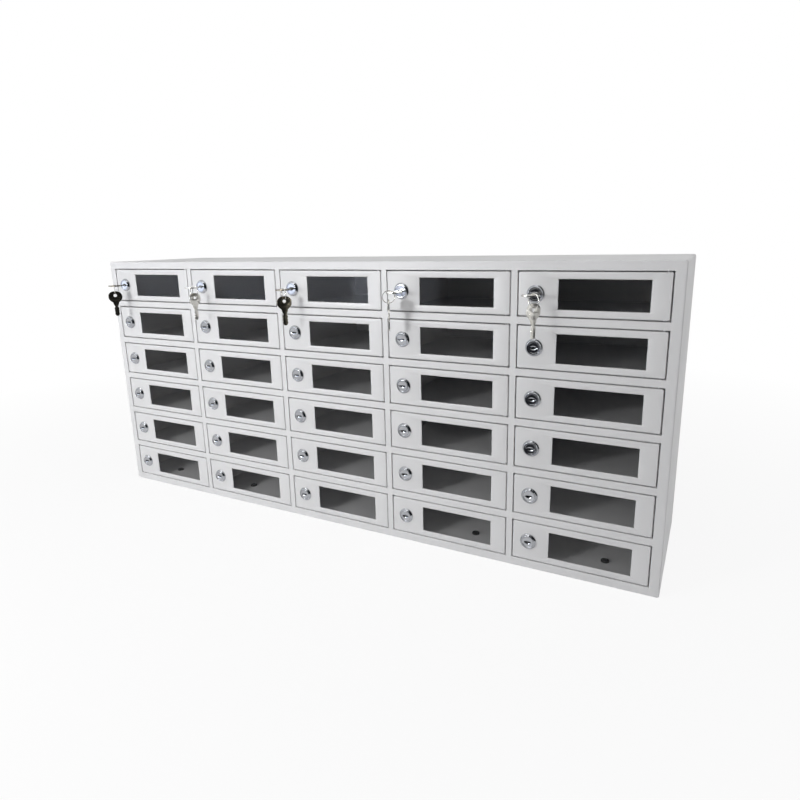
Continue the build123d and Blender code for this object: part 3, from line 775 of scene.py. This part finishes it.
key_loop = softened(np.concatenate([half_line, (half_line * [-1, 1])[::-1]]))
hole_angle = np.linspace(0, 2 * math.pi, 28, endpoint=False)
hole_loop = np.stack([KEY_HOLE_R * np.cos(hole_angle), KEY_HOLE_AT + KEY_HOLE_R * np.sin(hole_angle)], -1)
key_mesh = flat_outline("key", [key_loop, hole_loop], KEY_THICK / 2, 0.22)
pad_corners = [(-7.6, 10.6), (-8.2, 13.2), (-6.0, 16.0), (6.0, 16.0), (8.2, 13.2), (7.6, 10.6)]
pad_loop = softened(np.array(pad_corners))
pad_mesh = flat_outline("key_pad", [pad_loop], KEY_THICK / 2 + 0.18, 0.16)
rib_loop = softened(np.array([(-0.7, 21.5), (-0.7, 42.0), (0.7, 42.0), (0.7, 21.5)]), 1)
rib_mesh = flat_outline("key_rib", [rib_loop], KEY_THICK / 2 + 0.12, 0.1)


def key_finish(name, dark, light, rough, metal_scale):
    """Worn nickel: two metal tones over a patchy mask, rougher where it is darker."""
    made, nodes, links, end = material(name)
    metal = nodes.new("ShaderNodeBsdfPrincipled")
    metal.inputs["Metallic"].default_value = 1.0
    worn = nodes.new("ShaderNodeGroup")
    worn.node_tree = peel
    worn.inputs["Peel Height"].default_value = 0.25
    worn.inputs["Peel Scale"].default_value = 380.0
    worn.inputs["Dust Scale"].default_value = metal_scale
    links.new(blend_of(nodes, links, worn.outputs["Dust"], dark, light, True), metal.inputs["Base Color"])
    links.new(blend_of(nodes, links, worn.outputs["Dust"], rough + 0.1, rough), metal.inputs["Roughness"])
    links.new(worn.outputs["Normal"], metal.inputs["Normal"])
    links.new(metal.outputs[0], end.inputs[0])
    return made


bronze = key_finish("bronzed_nickel", (0.10, 0.09, 0.07), (0.34, 0.31, 0.24), 0.16, 120.0)
nickel = key_finish("bright_nickel", (0.62, 0.60, 0.55), (0.84, 0.83, 0.79), 0.14, 90.0)


def transformed(mesh, name, matrix):
    """Copy of a mesh in millimetre-scaled metres, put in place by a 4 by 4 matrix."""
    made = mesh.copy()
    made.name = name
    made.transform(matrix)
    made.update()
    return made


def frame_at(origin, x_dir, y_dir):
    """Matrix of a frame with its origin in millimetres and its first two axes."""
    x, y = Vector(x_dir).normalized(), Vector(y_dir).normalized()
    z = x.cross(y)
    return Matrix.Translation(Vector(origin) * MM) @ Matrix((x, y, z)).transposed().to_4x4()


RING_R = 8.45
WIRE_STEP = 0.29
WIRE_HALF_W = 0.5
WIRE_HALF_H = 0.27
# Which way each ring faces, in degrees about the vertical, and the finish of its two keys.
RING_TURNS = [53.0, 88.0, 57.0, -60.0, 60.0]
KEY_LOOKS = [bronze, nickel, bronze, nickel, nickel]


def split_ring(name, radius, count=150, around=10):
    """Two turns of flat spring wire: an oval section carried along a flat helix with a step."""
    t = np.linspace(0, 1, count)
    a = t * 4 * math.pi
    crossing = np.clip((t - 0.47) / 0.06, 0, 1)
    step = np.where(t < 0.5, -WIRE_STEP, WIRE_STEP) + 2 * WIRE_STEP * (crossing - (t >= 0.5))
    centre = np.stack([radius * np.cos(a), step, radius * np.sin(a)], -1)
    out = np.stack([np.cos(a), 0 * a, np.sin(a)], -1)
    b = np.linspace(0, 2 * math.pi, around, endpoint=False)
    ring = (centre[:, None] + WIRE_HALF_W * np.cos(b)[None, :, None] * out[:, None]
            + WIRE_HALF_H * np.sin(b)[None, :, None] * np.array([0, 1, 0]))
    return surface_mesh(name, [(ring, False, True, True)], 50)


ring_mesh = split_ring("split_ring", RING_R)
for col in range(COLUMNS):
    tag = f"col{col + 1}"
    lock = door_place(col, 0) + np.array([LOCK_AT, 0, DOOR_H / 2])
    flat = frame_at(lock + np.array([0, -KEY_OUT, 0]), (1, 0, 0), (0, 1, 0))
    low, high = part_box(f"key_ring_{tag}")
    centre = (np.array(low) + np.array(high)) / 2 / MM
    turn_to = math.radians(RING_TURNS[col])
    out = np.array([math.sin(turn_to), -math.cos(turn_to), 0])
    spare_low, spare_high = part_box(f"spare_key_{tag}")
    spare_top = np.array([centre[0], centre[1], spare_high[2] / MM])
    hang = frame_at(spare_top, (out[1], -out[0], 0), (0, 0, -1))
    for kind, body, where in (("key", f"key_{tag}", flat), ("spare_key", f"spare_key_{tag}", hang)):
        whole = add_piece(f"{kind}_blank_{tag}", transformed(key_mesh, f"{kind}_blank_{tag}", where),
                          body, KEY_LOOKS[col])
        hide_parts(f"{kind}_{tag}")
        add_piece(f"{kind}_pad_{tag}", transformed(pad_mesh, f"{kind}_pad_{tag}", where), body,
                  KEY_LOOKS[col])
        add_piece(f"{kind}_rib_{tag}", transformed(rib_mesh, f"{kind}_rib_{tag}", where), body,
                  KEY_LOOKS[col])
    across = (-out[1], out[0], 0)
    ring_at = frame_at(centre, out, across)
    ring = add_piece(f"ring_{tag}", transformed(ring_mesh, f"ring_{tag}", ring_at), f"key_ring_{tag}",
                     nickel)
    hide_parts(f"key_ring_{tag}")

# --- Hinge pins and floor plugs -------------------------------------------------------------
# Zinc-plated steel pins pressed into the folded edges above and below each door, and black
# push-in plugs of moulded nylon over the access holes in the floor of the bottom row.
dress("hinge_pins", zinc)
nylon, yn, yl, nylon_end = material("black_nylon")
moulded = yn.new("ShaderNodeBsdfPrincipled")
moulded.inputs["Base Color"].default_value = (0.012, 0.012, 0.013, 1)
texture = yn.new("ShaderNodeGroup")
texture.node_tree = peel
texture.inputs["Peel Height"].default_value = 0.3
texture.inputs["Peel Scale"].default_value = 1400.0
yl.new(blend_of(yn, yl, texture.outputs["Dust"], 0.35, 0.5), moulded.inputs["Roughness"])
yl.new(texture.outputs["Normal"], moulded.inputs["Normal"])
yl.new(moulded.outputs[0], nylon_end.inputs[0])
dress("floor_plugs", nylon)
